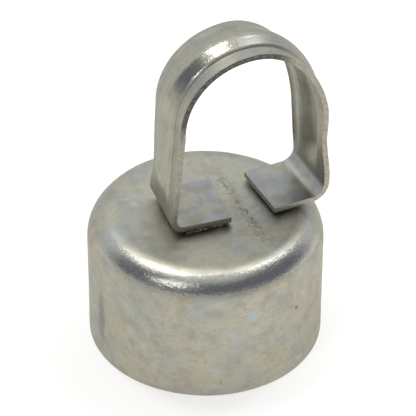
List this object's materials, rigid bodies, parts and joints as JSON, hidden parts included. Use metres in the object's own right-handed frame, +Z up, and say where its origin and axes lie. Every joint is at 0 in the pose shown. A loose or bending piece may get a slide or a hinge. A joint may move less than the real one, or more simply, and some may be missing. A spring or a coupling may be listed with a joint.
{
  "type": "fence post loop cap",
  "caption": "Round drawn steel cup, open below, with a beaded strip loop spot-welded on its top to hold a fence's top rail.",
  "frame": {"origin": "middle of the cup's ceiling, the flat inner face where the post's end seats", "axes": "+Z up along the cup's axis, away from the post; +Y along the rail that the loop holds; +X from the cup's axis towards the side that the loop stands off to"},
  "size_m": [0.0557, 0.0538, 0.0751],
  "materials": {
    "cup_zinc": "zinc-plated mild steel, satin, warm grey with faint bluish and brown mottling and a burnished shoulder",
    "strap_zinc": "zinc-plated rolled steel strip, satin, faint lengthwise rolling streaks, heat tint on the feet",
    "weld_metal": "dull dark grey weld metal, rough"
  },
  "bodies": {
    "root": {"cap_cup": "cup_zinc", "loop_strap": "strap_zinc", "weld_left": "weld_metal", "weld_right": "weld_metal"}
  },
  "joints": []
}
